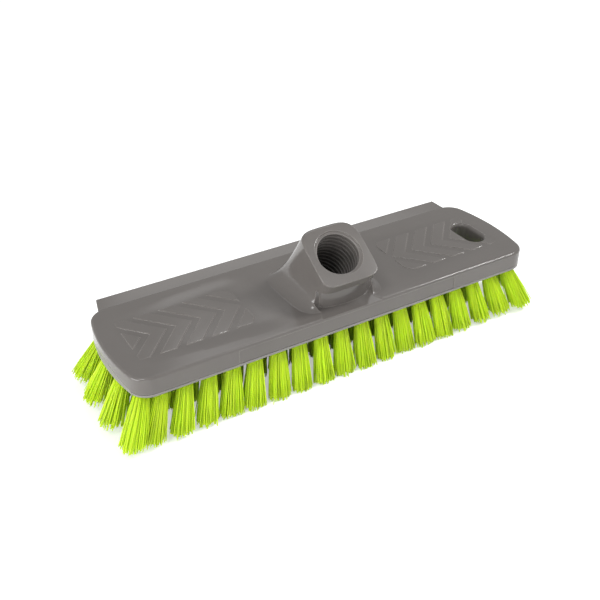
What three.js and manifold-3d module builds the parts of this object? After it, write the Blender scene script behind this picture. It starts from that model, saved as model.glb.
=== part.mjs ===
// Floor scrub brush head: a moulded cover with a tilted, threaded handle socket and a scraper lip,
// closed from below by a tuft plate that carries four rows of staple-set bristle tufts.
// Millimetres. +Z is up, the brush stands on its bristle tips, +X runs along the block,
// the socket leans towards -Y and the scraper lip points to +Y.

import * as THREE from 'three';
import { mergeGeometries, mergeVertices } from 'three/addons/utils/BufferGeometryUtils.js';
import Module from 'manifold-3d';

const wasm = await Module();
wasm.setup();

// Block
const blockLength = 220;
const blockWidth = 60;
const blockHeight = 10;
const endBowRadius = 105;
const cornerRadius = 9.5;
const topEdgeRadius = 1.4;

// Cover and tuft plate
const coverWall = 2.2;
const coverTop = 3;
const rimHeight = 1.3;
const endLipRise = 2.4;
const endLipWidth = 46;
const endLipDepth = 8;
const clearance = 0.3;

// Threaded handle socket: its axis meets the block's top a little in front of the centre line
const socketY = -1.5;
const socketTilt = THREE.MathUtils.degToRad(32.5);
const socketRise = 23;
const mouthWidth = 30;
const mouthHeight = 31.2;
const mouthSquareness = 5.5;
const mouthCrown = 0.2;
const crownSquareness = 4;
const flareWidth = 56;
const flareFront = 26.4;
const flareBack = 20.5;
const flareSquareness = 5;
const flareRoot = 0.8;
const flareStraightShare = 0.5;
const threadMajorDiameter = 22.4;
const threadDepth = 0.9;
const threadPitch = 2.85;

// Scoop in front of the socket, and the bowed wall behind it that carries the mouth's lower edge
const scoopWidth = 35;
const scoopBackWidth = 27;
const scoopDepth = 0.9;
const scoopReach = 3;
const scoopLean = 8;
const wallFront = 22.2;
const wallBowRadius = 36;
const wallHalfWidth = 13.5;
const wallSide = 15.5;
const wallSideY = -13;
const wallRise = 9.5;

// Scraper lip
const lipReach = 8.5;
const lipTipLength = 198.7;
const lipRootLength = 203.2;
const lipRootThickness = 2.6;
const lipTipThickness = 1.2;
const lipRootDrop = 1.4;

// Chevron panels, raised bands in a shallow dish on each half of the top
const dishDepth = 0.5;
const dishBorder = 5.5;
const dishHalfWidth = 25;
const dishStart = 38;
const dishSideRadius = 400;
const panelStart = 42;
const panelEnd = 99.2;
const panelHalfHeight = 15.8;
const chevronPitch = 12.27;
const chevronFirst = 43.4;
const chevronWidth = 8.1;
const chevronSweep = 14.2;

// Hanging slot
const slotWidth = 9.4;
const slotLength = 20.2;
const slotCentre = 92.7;
const slotCollarWall = 1.2;

// Tufts
const bristleTrim = 26.4;
const outerRowY = 22.5;
const outerRowCount = 19;
const outerCornerX = -101.3;
const outerRowStart = -93;
const outerRowEnd = 98.35;
const innerRowY = 7.5;
const innerRowCount = 20;
const innerRowStart = -103.5;
const innerRowEnd = 102.5;
const tuftHoleRadius = 2.7;
const strandsInRing = 5;
const strandRootRadius = 0.65;
const strandTipRadius = 1.1;
const ringRootRadius = 1.65;
const ringTipRadius = 4;
const ringStartTurn = THREE.MathUtils.degToRad(18);
const sideSplay = 0.289;
const lengthSplay = 0.07;
const endSplay = 4;
const endSplayPower = 4;
const endRise = 4;
const leastRise = 0.8;
const tipCut = 0.5;
const sliceThickness = 1.6;
const sliceHalfWidth = 3.2;

// Flat wire anchors
const anchorLength = 6;
const anchorHeight = 2.2;
const anchorThickness = 0.4;
const anchorTurn = THREE.MathUtils.degToRad(30);
const anchorLift = 1;

// Facets
const cornerSteps = 6;
const bowSteps = 6;
const edgeSteps = 3;
const dishSteps = 10;
const slotSteps = 8;
const lipArchSteps = 10;
const wallSteps = 8;
const flareSides = 40;
const flareSteps = 9;
const threadSides = 28;
const threadStepsPerTurn = 4;
const strandSides = 3;

// Levels
const plateBottom = bristleTrim;
const rimTop = plateBottom + rimHeight;
const coverBottom = rimTop + clearance;
const blockTop = plateBottom + blockHeight;
const cavityTop = blockTop - coverTop;
const plateTop = cavityTop - clearance;
const halfLength = blockLength / 2;
const halfWidth = blockWidth / 2;
const overcut = 1;
const nearlyZero = 1e-9;

const coverMaterial = new THREE.MeshStandardMaterial({ color: 0x7a7672, roughness: 0.3, metalness: 0 });
const plateMaterial = new THREE.MeshStandardMaterial({ color: 0x96938f, roughness: 0.4, metalness: 0 });
const bristleMaterial = new THREE.MeshStandardMaterial({ color: 0xb4dc28, roughness: 0.45, metalness: 0 });
const anchorMaterial = new THREE.MeshStandardMaterial({ color: 0xb8b8b4, roughness: 0.35, metalness: 1 });

// Solids from three.js geometries, for joins and cuts

function solid(geometry) {
  const bare = geometry.clone();
  bare.deleteAttribute('normal');
  bare.deleteAttribute('uv');
  const merged = mergeVertices(bare);
  return new wasm.Manifold(new wasm.Mesh({
    numProp: 3,
    vertProperties: new Float32Array(merged.attributes.position.array),
    triVerts: new Uint32Array(merged.index.array),
  }));
}

function geometryOf(manifold) {
  const mesh = manifold.getMesh();
  const geometry = new THREE.BufferGeometry();
  geometry.setAttribute('position', new THREE.BufferAttribute(mesh.vertProperties, 3));
  geometry.setIndex(new THREE.BufferAttribute(mesh.triVerts, 1));
  geometry.computeVertexNormals();
  return geometry;
}

function slab(points, bottom, top) {
  const shape = new THREE.Shape(points);
  const geometry = new THREE.ExtrudeGeometry(shape, { depth: top - bottom, bevelEnabled: false });
  return geometry.translate(0, 0, bottom);
}

// A section drawn in the YZ plane and extruded along X
function alongX(points, from, to) {
  const turn = new THREE.Matrix4().makeBasis(
    new THREE.Vector3(0, 1, 0),
    new THREE.Vector3(0, 0, 1),
    new THREE.Vector3(1, 0, 0),
  );
  return slab(points, from, to).applyMatrix4(turn);
}

function box(from, to) {
  const size = new THREE.Vector3().subVectors(to, from);
  const middle = new THREE.Vector3().addVectors(from, to).multiplyScalar(0.5);
  return new THREE.BoxGeometry(size.x, size.y, size.z).translate(middle.x, middle.y, middle.z);
}

// A box whose corners are set by a function of their signs
function corneredBox(corner) {
  const geometry = new THREE.BoxGeometry(2, 2, 2);
  const position = geometry.attributes.position;
  for (let i = 0; i < position.count; i += 1) {
    const place = corner(position.getX(i), position.getY(i), position.getZ(i));
    position.setXYZ(i, place.x, place.y, place.z);
  }
  return geometry;
}

function arc(x, y, radius, from, to, steps) {
  return Array.from({ length: steps + 1 }, (unused, i) => {
    const angle = from + (to - from) * i / steps;
    return new THREE.Vector2(x + radius * Math.cos(angle), y + radius * Math.sin(angle));
  });
}

// A rounded square or oblong, whose sides bow out a little; a share that is nearly zero counts as zero
function superellipse(angle, halfX, halfY, squareness) {
  const swell = (share) => {
    const size = Math.abs(share) < nearlyZero ? 0 : Math.abs(share) ** (2 / squareness);
    return Math.sign(share) * size;
  };
  return new THREE.Vector2(halfX * swell(Math.cos(angle)), halfY * swell(Math.sin(angle)));
}

// Outlines seen from above

// Straight sides, bowed ends and rounded corners that run tangent into both
function blockOutline(inset) {
  const corner = cornerRadius - inset;
  const bow = endBowRadius - inset;
  const bowX = halfLength - endBowRadius;
  const cornerY = halfWidth - cornerRadius;
  const cornerX = bowX + Math.sqrt((endBowRadius - cornerRadius) ** 2 - cornerY ** 2);
  const turn = Math.atan2(cornerY, cornerX - bowX);
  const rightEnd = [
    ...arc(cornerX, -cornerY, corner, -Math.PI / 2, -turn, cornerSteps),
    ...arc(bowX, 0, bow, -turn, turn, bowSteps).slice(1, -1),
    ...arc(cornerX, cornerY, corner, turn, Math.PI / 2, cornerSteps),
  ];
  const leftEnd = rightEnd.map((point) => point.clone().negate());
  return [...rightEnd, ...leftEnd];
}

function slotOutline(offset) {
  const radius = slotWidth / 2 + offset;
  const endY = slotLength / 2 - slotWidth / 2;
  return [
    ...arc(slotCentre, endY, radius, 0, Math.PI, slotSteps),
    ...arc(slotCentre, -endY, radius, Math.PI, 2 * Math.PI, slotSteps),
  ];
}

// Lens-shaped dish of the right-hand panel, before it is trimmed to the block's border
function dishOutline() {
  const centreY = dishSideRadius - dishHalfWidth;
  const reach = Math.asin((halfLength - dishStart) / dishSideRadius);
  return [
    ...arc(dishStart, centreY, dishSideRadius, -Math.PI / 2, -Math.PI / 2 + reach, dishSteps),
    ...arc(dishStart, -centreY, dishSideRadius, Math.PI / 2 - reach, Math.PI / 2, dishSteps),
  ];
}

function chevronOutline(apex) {
  const h = panelHalfHeight + overcut;
  const sweep = chevronSweep * h / panelHalfHeight;
  return [
    new THREE.Vector2(apex, 0),
    new THREE.Vector2(apex + sweep, -h),
    new THREE.Vector2(apex + sweep + chevronWidth, -h),
    new THREE.Vector2(apex + chevronWidth, 0),
    new THREE.Vector2(apex + sweep + chevronWidth, h),
    new THREE.Vector2(apex + sweep, h),
  ];
}

// Arched lip of the tuft plate's edge at the block's ends, grown by a gap
function endLipSection(grow) {
  const half = endLipWidth / 2 + grow;
  const rise = endLipRise + grow;
  const radius = (half ** 2 + rise ** 2) / (2 * rise);
  const reach = Math.asin(half / radius);
  const centreZ = coverBottom + rise - radius;
  return [
    ...arc(0, centreZ, radius, Math.PI / 2 - reach, Math.PI / 2 + reach, lipArchSteps),
    new THREE.Vector2(-half, plateBottom + clearance),
    new THREE.Vector2(half, plateBottom + clearance),
  ];
}

function endLips(grow) {
  const inner = halfLength - endLipDepth - grow;
  const outer = halfLength + overcut;
  const right = solid(alongX(endLipSection(grow), inner, outer));
  const left = solid(alongX(endLipSection(grow), -outer, -inner));
  return right.add(left);
}

// Threaded handle socket

const socketFrame = new THREE.Matrix4()
  .makeTranslation(0, socketY, blockTop)
  .multiply(new THREE.Matrix4().makeRotationX(socketTilt));
const socketLength = socketRise / Math.cos(socketTilt);

// Each line of the tower leaves the mouth along the socket's axis and sweeps out into the block's top
function towerLine(angle) {
  const upper = Math.sin(angle) > 0;
  const mouthRise = mouthHeight / 2 + (upper ? mouthCrown : 0);
  const mouth = superellipse(angle, mouthWidth / 2, mouthRise, upper ? crownSquareness : mouthSquareness);
  const flareMiddle = (flareBack - flareFront) / 2;
  const flareDepth = (flareBack + flareFront) / 2;
  const foot = superellipse(angle, flareWidth / 2, flareDepth, flareSquareness);
  const rim = new THREE.Vector3(mouth.x, mouth.y, socketLength).applyMatrix4(socketFrame);
  const straightFoot = new THREE.Vector3(mouth.x, mouth.y, -mouth.y * Math.tan(socketTilt));
  const bend = straightFoot.applyMatrix4(socketFrame);
  const base = new THREE.Vector3(foot.x, socketY + flareMiddle + foot.y, blockTop - flareRoot);
  return new THREE.CubicBezierCurve3(rim, rim.clone().lerp(bend, flareStraightShare), bend, base);
}

function socketTower() {
  const geometry = new THREE.CylinderGeometry(1, 1, 1, flareSides, flareSteps);
  const position = geometry.attributes.position;
  const mouthCentre = new THREE.Vector3(0, 0, socketLength).applyMatrix4(socketFrame);
  const footCentre = new THREE.Vector3(0, socketY, blockTop - flareRoot);
  const place = new THREE.Vector3();
  for (let i = 0; i < position.count; i += 1) {
    const down = 0.5 - position.getY(i);
    const onAxis = Math.hypot(position.getX(i), position.getZ(i)) < nearlyZero;
    if (onAxis) {
      place.copy(down < nearlyZero ? mouthCentre : footCentre);
    } else {
      towerLine(Math.atan2(-position.getZ(i), position.getX(i))).getPoint(down, place);
    }
    position.setXYZ(i, place.x, place.y, place.z);
  }
  return solid(geometry);
}

// The thread's own form: a core whose radius rises and falls once a pitch, along a helix
function threadCore() {
  const depth = socketLength + (coverTop + threadMajorDiameter) / Math.cos(socketTilt);
  const length = depth + overcut;
  const steps = Math.round(threadStepsPerTurn * length / threadPitch);
  const geometry = new THREE.CylinderGeometry(1, 1, length, threadSides, steps);
  const position = geometry.attributes.position;
  const middleRadius = (threadMajorDiameter - threadDepth) / 2;
  for (let i = 0; i < position.count; i += 1) {
    const x = position.getX(i);
    const z = position.getZ(i);
    const turns = position.getY(i) / threadPitch - Math.atan2(-z, x) / (2 * Math.PI);
    const radius = middleRadius + threadDepth / 2 * Math.cos(2 * Math.PI * turns);
    position.setX(i, x * radius);
    position.setZ(i, z * radius);
  }
  geometry.rotateX(Math.PI / 2);
  geometry.translate(0, 0, socketLength + overcut - length / 2);
  return solid(geometry.applyMatrix4(socketFrame));
}

function socketScoop() {
  const wallY = socketY - wallFront;
  const slope = scoopDepth / (halfWidth + wallY);
  return solid(corneredBox((sx, sy, sz) => {
    const front = sy < 0;
    const width = (front ? scoopWidth : scoopBackWidth) + (sz > 0 ? 2 * scoopLean : 0);
    const y = front ? -halfWidth - overcut : wallY + scoopReach;
    const floor = blockTop + slope * Math.min(0, y - wallY);
    return new THREE.Vector3(sx * width / 2, y, sz < 0 ? floor : blockTop + wallRise);
  }));
}

function mouthWall() {
  const reach = Math.asin(wallHalfWidth / wallBowRadius);
  const outline = [
    ...arc(0, wallBowRadius - wallFront, wallBowRadius, -Math.PI / 2 - reach, -Math.PI / 2 + reach, wallSteps),
    new THREE.Vector2(wallSide, wallSideY),
    new THREE.Vector2(wallSide, 0),
    new THREE.Vector2(-wallSide, 0),
    new THREE.Vector2(-wallSide, wallSideY),
  ];
  return solid(slab(outline, blockTop - coverTop / 2, blockTop + wallRise).translate(0, socketY, 0));
}

// Cover

function coverShell() {
  const shape = new THREE.Shape(blockOutline(0));
  const geometry = new THREE.ExtrudeGeometry(shape, {
    depth: blockHeight,
    bevelThickness: topEdgeRadius,
    bevelSize: topEdgeRadius,
    bevelOffset: -topEdgeRadius,
    bevelSegments: edgeSteps,
  });
  geometry.translate(0, 0, blockTop - blockHeight - topEdgeRadius);
  const below = box(
    new THREE.Vector3(-blockLength, -blockWidth, -blockHeight),
    new THREE.Vector3(blockLength, blockWidth, coverBottom),
  );
  return solid(geometry).subtract(solid(below));
}

function scraperLip() {
  return solid(corneredBox((sx, sy, sz) => {
    const atTip = sy > 0;
    const length = atTip ? lipTipLength : lipRootLength;
    const y = atTip ? halfWidth + lipReach : halfWidth - coverWall / 2;
    const top = atTip ? blockTop : blockTop - lipRootDrop;
    const thickness = atTip ? lipTipThickness : lipRootThickness;
    return new THREE.Vector3(sx * length / 2, y, sz > 0 ? top : top - thickness);
  }));
}

// The right half's form and the same form on the left half, half a turn round the block's middle
function bothHalves(rightHalf) {
  const leftHalf = rightHalf.clone().rotateZ(Math.PI);
  return solid(rightHalf).add(solid(leftHalf));
}

function panelDishes() {
  const lenses = bothHalves(slab(dishOutline(), blockTop - dishDepth, blockTop + overcut));
  const border = solid(slab(blockOutline(dishBorder), 0, blockTop + 2 * overcut));
  return lenses.intersect(border);
}

// Whole bands of the panel, with one more before the first, whose arms reach into the panel's corners
function chevronBands() {
  const foot = blockTop - coverTop / 2;
  const panels = bothHalves(box(
    new THREE.Vector3(panelStart, -panelHalfHeight, 0),
    new THREE.Vector3(panelEnd, panelHalfHeight, blockTop + overcut),
  ));
  const count = 1 + Math.ceil((panelEnd - chevronFirst) / chevronPitch);
  const bands = Array.from({ length: count }, (unused, i) => {
    const apex = chevronFirst + (i - 1) * chevronPitch;
    return bothHalves(slab(chevronOutline(apex), foot, blockTop));
  });
  return bands.reduce((joined, band) => joined.add(band)).intersect(panels);
}

function coverGeometry() {
  const cavity = solid(slab(blockOutline(coverWall), 0, cavityTop));
  const collar = solid(slab(slotOutline(slotCollarWall), plateBottom, cavityTop + coverTop / 2));
  const slot = solid(slab(slotOutline(0), 0, blockTop + overcut));
  const cover = coverShell()
    .subtract(panelDishes())
    .add(chevronBands())
    .add(socketTower())
    .subtract(socketScoop())
    .add(mouthWall())
    .subtract(cavity)
    .subtract(threadCore())
    .subtract(endLips(clearance))
    .add(scraperLip())
    .add(collar)
    .subtract(slot);
  return geometryOf(cover);
}

// Tufts

function rowPlaces(count, start, end, y) {
  return Array.from({ length: count }, (unused, i) => {
    return new THREE.Vector2(start + (end - start) * i / (count - 1), y);
  });
}

// The slot takes the place of the inner tufts that it meets
function clearOfSlot(place) {
  const gap = slotWidth / 2 + slotCollarWall + clearance + tuftHoleRadius;
  return Math.abs(place.x - slotCentre) > gap || Math.abs(place.y) > slotLength / 2 + tuftHoleRadius;
}

function innerPlaces(side) {
  return rowPlaces(innerRowCount, innerRowStart, innerRowEnd, side * innerRowY).filter(clearOfSlot);
}

function innerRow(side) {
  return innerPlaces(side).filter((place) => place.x < slotCentre);
}

// An inner tuft beyond the slot stands on the outer row's slice, which turns the corner to reach it
function outerRow(side) {
  const beyondSlot = innerPlaces(side).filter((place) => place.x > slotCentre);
  const y = side * outerRowY;
  const corner = new THREE.Vector2(outerCornerX, y);
  return [corner, ...rowPlaces(outerRowCount - 1, outerRowStart, outerRowEnd, y), ...beyondSlot];
}

// Slice of the backing that carries a row, or with a gap added the channel that takes it
function sliceSolid(places, grow) {
  const margin = tuftHoleRadius + grow;
  const row = places.filter((place) => place.y === places[0].y);
  const first = row[0];
  const last = row[row.length - 1];
  const half = sliceHalfWidth + grow;
  const top = plateBottom + sliceThickness + grow;
  const bottom = grow > 0 ? plateBottom - overcut : plateBottom;
  const strip = solid(box(
    new THREE.Vector3(first.x - margin, first.y - half, bottom),
    new THREE.Vector3(last.x + margin, first.y + half, top),
  ));
  const leg = places[row.length];
  if (!leg) {
    return strip;
  }
  const inward = Math.sign(leg.y - last.y);
  const drift = (leg.x - last.x) / (leg.y - last.y);
  return strip.add(solid(corneredBox((sx, sy, sz) => {
    const y = sy * inward > 0 ? leg.y + inward * half : last.y;
    const x = last.x + drift * (y - last.y) + sx * margin;
    return new THREE.Vector3(x, y, sz > 0 ? top : bottom);
  })));
}

// Tufts lean out towards the sides and the ends of the block, and those near the ends lean most, so their tips rise
function tuftTip(place) {
  const nearEnd = Math.abs(place.x / halfLength) ** endSplayPower;
  const lean = Math.sign(place.x) * endSplay * nearEnd;
  const rise = endRise * nearEnd;
  return new THREE.Vector3(
    place.x * (1 + lengthSplay) + lean,
    place.y * (1 + sideSplay),
    rise < leastRise ? -tipCut : rise,
  );
}

function strand(root, tip, turn) {
  const geometry = new THREE.CylinderGeometry(strandRootRadius, strandTipRadius, 1, strandSides, 1);
  geometry.rotateX(Math.PI / 2);
  geometry.rotateZ(turn);
  const top = plateBottom + sliceThickness / 2;
  const position = geometry.attributes.position;
  for (let i = 0; i < position.count; i += 1) {
    const down = 0.5 - position.getZ(i);
    const x = root.x + (tip.x - root.x) * down + position.getX(i);
    const y = root.y + (tip.y - root.y) * down + position.getY(i);
    position.setXYZ(i, x, y, top + (tip.z - top) * down);
  }
  return geometry;
}

function tuftStrands(place) {
  const tip = tuftTip(place);
  const strands = [strand(place, tip, 0)];
  for (let i = 0; i < strandsInRing; i += 1) {
    const angle = ringStartTurn + 2 * Math.PI * i / strandsInRing;
    const out = new THREE.Vector3(Math.cos(angle), Math.sin(angle), 0);
    const root = place.clone().addScaledVector(out, ringRootRadius);
    const end = tip.clone().addScaledVector(out, ringTipRadius);
    strands.push(strand(root, end, angle));
  }
  return strands;
}

function bristleGeometry(places) {
  const strands = solid(mergeGeometries(places.flatMap(tuftStrands)));
  const floor = box(
    new THREE.Vector3(-blockLength, -blockWidth, -bristleTrim),
    new THREE.Vector3(blockLength, blockWidth, 0),
  );
  return geometryOf(sliceSolid(places, 0).add(strands).subtract(solid(floor)));
}

const bristleRows = {
  bristles_front: outerRow(-1),
  bristles_front_inner: innerRow(-1),
  bristles_back_inner: innerRow(1),
  bristles_back: outerRow(1),
};

// Tuft plate and anchors

const anchorBottom = plateBottom + sliceThickness + clearance + anchorLift;
const anchorWire = new THREE.BoxGeometry(anchorLength, anchorThickness, anchorHeight);

function anchorPocket(place) {
  const ceiling = anchorBottom + anchorHeight + clearance;
  const floor = plateBottom + sliceThickness;
  const pocket = new THREE.BoxGeometry(
    anchorLength + 2 * clearance,
    anchorThickness + 2 * clearance,
    ceiling - floor,
  );
  return pocket.rotateZ(anchorTurn).translate(place.x, place.y, (ceiling + floor) / 2);
}

function plateGeometry() {
  const rim = solid(slab(blockOutline(0), plateBottom, rimTop));
  const body = solid(slab(blockOutline(coverWall + clearance), plateBottom, plateTop));
  const outlineColumn = solid(slab(blockOutline(0), 0, blockTop));
  const lips = endLips(0).intersect(outlineColumn);
  const slot = solid(slab(slotOutline(slotCollarWall + clearance), 0, blockTop));
  const rows = Object.values(bristleRows);
  const channels = rows.map((places) => sliceSolid(places, clearance)).reduce((all, one) => all.add(one));
  const pockets = solid(mergeGeometries(rows.flat().map(anchorPocket)));
  return geometryOf(rim.add(body).add(lips).subtract(slot).subtract(channels).subtract(pockets));
}

// Assembly

const head = new THREE.Group();

function addPiece(name, geometry, material) {
  const mesh = new THREE.Mesh(geometry, material);
  mesh.name = name;
  head.add(mesh);
  return mesh;
}

addPiece('top_cover', coverGeometry(), coverMaterial);
addPiece('tuft_plate', plateGeometry(), plateMaterial);
for (const [name, places] of Object.entries(bristleRows)) {
  addPiece(name, bristleGeometry(places), bristleMaterial);
}
for (const row of ['front', 'back']) {
  bristleRows[`bristles_${row}`].slice(0, outerRowCount).forEach((place, i) => {
    const number = String(i + 1).padStart(2, '0');
    const anchor = addPiece(`anchor_${row}_${number}`, anchorWire, anchorMaterial);
    anchor.position.set(place.x, place.y, anchorBottom + anchorHeight / 2);
    anchor.rotation.z = anchorTurn;
  });
}

// The origin is on the floor, under the middle of the whole brush
const extent = new THREE.Box3().setFromObject(head);
const middle = extent.getCenter(new THREE.Vector3());
head.position.set(-middle.x, -middle.y, -extent.min.z);

const brush = new THREE.Group();
brush.add(head);

export default brush;
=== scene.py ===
"""Looks of a floor scrub brush head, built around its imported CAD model."""

import math
import random

import bmesh
import bpy
from bpy.props import FloatProperty, FloatVectorProperty, IntProperty, PointerProperty
from mathutils import Matrix, Vector


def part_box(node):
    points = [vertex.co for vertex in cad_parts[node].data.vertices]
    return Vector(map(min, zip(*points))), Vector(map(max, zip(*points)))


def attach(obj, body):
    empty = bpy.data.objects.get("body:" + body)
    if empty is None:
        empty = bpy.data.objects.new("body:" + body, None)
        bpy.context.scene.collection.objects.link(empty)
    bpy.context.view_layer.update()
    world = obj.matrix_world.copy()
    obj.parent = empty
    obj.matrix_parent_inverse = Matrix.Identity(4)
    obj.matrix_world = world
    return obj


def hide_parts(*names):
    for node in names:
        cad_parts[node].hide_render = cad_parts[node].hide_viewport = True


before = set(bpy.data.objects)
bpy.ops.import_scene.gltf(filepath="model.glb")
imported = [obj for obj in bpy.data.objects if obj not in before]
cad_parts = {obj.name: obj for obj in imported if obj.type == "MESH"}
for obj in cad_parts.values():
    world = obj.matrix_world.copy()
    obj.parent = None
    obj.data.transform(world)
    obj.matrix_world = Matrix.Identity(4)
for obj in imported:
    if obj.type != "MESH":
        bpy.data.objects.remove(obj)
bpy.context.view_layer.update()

bl_info = {
    "name": "Floor scrub brush head",
    "version": (1, 0, 0),
    "blender": (4, 5, 0),
    "location": "View3D > Sidebar > Brush",
    "description": "Builds the cover, tuft plate, tufts, anchors and stage of a floor scrub brush head",
    "category": "Object",
}

MM = 0.001
MERGE = 1e-6  # distance at which vertices count as one
OVERCUT = 1 * MM  # how far a cutting form runs past what it cuts
SHARP = 30  # degrees from which an edge of a moulding is shaded sharp
FILAMENT_SHARP = 100


def spot(name, description, millimetres, **limits):
    """A place on the block that a user may change, in metres."""
    return FloatProperty(
        name=name, description=description, default=millimetres * MM, unit="LENGTH", precision=5, **limits)


def size(name, description, millimetres):
    """A length that a user may change, in metres."""
    return spot(name, description, millimetres, min=0)


def share(name, description, default):
    """A plain number that a user may change."""
    return FloatProperty(name=name, description=description, default=default, min=0)


def angle(name, description, degrees):
    return FloatProperty(name=name, description=description, default=math.radians(degrees), subtype="ANGLE")


def count(name, description, default):
    return IntProperty(name=name, description=description, default=default, min=1)


def colour(name, description, default):
    return FloatVectorProperty(
        name=name, description=description, default=default, size=3, min=0, max=1, subtype="COLOR")


# Sizes and colours

class BlockSizes(bpy.types.PropertyGroup):
    """Outline, levels and wall of the block"""
    length: size("Length", "Length of the block at its middle", 220)
    width: size("Width", "Width of the block without the scraper lip", 60)
    height: size("Height", "Height from the tuft plate's underside to the top", 10)
    end_bow: size("End bow", "Radius of the bowed ends", 105)
    corner: size("Corner", "Radius of the corners, seen from above", 9.5)
    top_edge: size("Top edge", "Radius of the top edge", 1.4)
    trim: size("Trim", "Height of the plate's underside above the bristle tips", 26.4)
    wall: size("Wall", "Thickness of the cover's skirt", 2.2)
    top: size("Top", "Thickness of the cover's top", 3)
    rim: size("Rim", "Height of the tuft plate's paler rim", 1.3)
    seam: size("Seam", "Gap between the cover and the tuft plate", 0.3)
    end_lip_rise: size("End lip rise", "Rise of the plate's arched end lips", 2.4)
    end_lip_width: size("End lip width", "Width of an arched end lip", 46)
    end_lip_depth: size("End lip depth", "Reach of an arched end lip into the block", 8)
    step_half: size("Step", "Distance from the middle to a long wall's witness step", 59.5)
    step_depth: size("Step depth", "Set-back of a long wall between its witness steps", 0.25)


class SocketSizes(bpy.types.PropertyGroup):
    """Threaded handle socket and the hollow in front of it"""
    y: spot("Place", "Where the socket's axis meets the top, from the middle line", -1.5)
    tilt: angle("Tilt", "Lean of the socket from upright", 32.5)
    rise: size("Rise", "Height of the mouth's middle above the top", 23)
    mouth_width: size("Mouth width", "Width of the square mouth", 30)
    mouth_height: size("Mouth height", "Height of the mouth, along its face", 31.2)
    mouth_squareness: share("Mouth squareness", "Exponent of the mouth's rounded square", 6.5)
    mouth_crown: size("Mouth crown", "Bow of the mouth's upper edge", 0.2)
    crown_squareness: share("Crown squareness", "Exponent of the mouth's upper half", 4)
    mouth_edge: size("Mouth edge", "Radius of the mouth's crisp lower edge", 0.35)
    mouth_back_edge: size("Mouth back edge", "Radius of the mouth's soft upper edge", 2.4)
    flare_width: size("Flare width", "Width of the flared foot", 56)
    flare_front: size("Flare front", "Reach of the foot towards the front", 26.4)
    flare_back: size("Flare back", "Reach of the foot towards the scraper lip", 20.5)
    flare_squareness: share("Flare squareness", "Exponent of the foot's rounded oblong", 5)
    flare_root: size("Flare root", "Depth of the foot's edge below the top", 0.8)
    thread_diameter: size("Thread diameter", "Diameter of the thread at its valleys", 23.0)
    thread_depth: size("Thread depth", "Height of the thread's ridges", 1.25)
    thread_pitch: size("Thread pitch", "Rise of the thread in one turn", 2.85)
    thread_start: share("Thread start", "Turn of the thread, as a share of its pitch", 0.57)
    lead_in: size("Lead in", "Radius of the bore's rounded lip", 0.35)
    pedestal_front: size("Pedestal front", "Reach of the wall under the mouth", 22.2)
    pedestal_bow: size("Pedestal bow", "Radius of that wall's bow", 36)
    pedestal_half: size("Pedestal half width", "Half the width of the bowed wall", 13.5)
    pedestal_side: size("Pedestal side", "Half the width of the wall behind its bow", 15.5)
    pedestal_back: size("Pedestal back", "Where the bow's sides end, from the socket's axis", 13)
    pedestal_rise: size("Pedestal rise", "Height of the wall under the mouth", 9.5)
    pedestal_root: size("Pedestal root", "Depth of that wall's foot below the top", 2.2)
    pedestal_corner: size("Pedestal corner", "Radius of that wall's corners", 1.5)
    scoop_front: size("Scoop front", "Half the hollow's width at the block's edge", 17.5)
    scoop_back: size("Scoop back", "Half the hollow's width at its back", 13.5)
    scoop_depth: size("Scoop depth", "Depth of the hollow at the block's edge", 0.5)
    scoop_reach: size("Scoop reach", "Reach of the hollow behind the wall's face", 3)
    scoop_lean: size("Scoop lean", "Lean of the hollow's sides at their top", 8)
    scoop_edge: size("Scoop edge", "Radius along the hollow's floor", 1.6)


class PanelSizes(bpy.types.PropertyGroup):
    """Dishes, chevron bands and hanging slot of the top"""
    dish_depth: size("Dish depth", "Depth of the dish round the chevrons", 0.4)
    dish_border: size("Dish border", "Border that the dish leaves at the block's ends", 5.5)
    dish_half: size("Dish half width", "Half the dish's width beside the socket", 27)
    dish_start: size("Dish start", "Distance from the middle to the dish", 27)
    dish_fade: size("Dish fade", "Length over which the dish sinks in beside the socket", 19)
    dish_side: size("Dish side", "Radius of the dish's long sides", 400)
    dish_slope: size("Dish slope", "Width of the dish's soft edge", 10)
    start: size("Panel start", "Distance from the middle to the chevrons", 42)
    end: size("Panel end", "Distance from the middle to the chevrons' end", 99.2)
    half: size("Panel half height", "Half the height of the chevron panel", 15.8)
    pitch: size("Chevron pitch", "Distance from one chevron to the next", 12.27)
    first: size("First chevron", "Distance from the middle to the first whole chevron's point", 43.4)
    band: size("Chevron band", "Width of a band along the block", 8.1)
    sweep: size("Chevron sweep", "Run of a band's arm along the block", 14.2)
    band_edge: size("Band edge", "Radius along a band's upper edge", 0.45)
    slot_width: size("Slot width", "Width of the hanging slot", 9.4)
    slot_length: size("Slot length", "Length of the hanging slot across the block", 20.2)
    slot_centre: size("Slot centre", "Distance from the middle to the slot", 92.7)
    slot_wall: size("Slot wall", "Thickness of the slot's collar", 1.2)
    slot_rim: size("Slot rim", "Radius of the slot's soft rim", 2.2)


class ScraperSizes(bpy.types.PropertyGroup):
    """Scraper lip along the back edge"""
    reach: size("Reach", "How far the lip stands out from the block", 8.5)
    tip_length: size("Tip length", "Length of the lip's free edge", 198.7)
    root_length: size("Root length", "Length of the lip at the block", 203.2)
    root_thickness: size("Root thickness", "Thickness of the lip at the block", 2.6)
    tip_thickness: size("Tip thickness", "Thickness of the lip's free edge", 1.2)
    root_drop: size("Root drop", "Depth of the lip's root below the top", 1.4)
    edge: size("Edge", "Radius of the lip's edges", 0.4)


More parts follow.
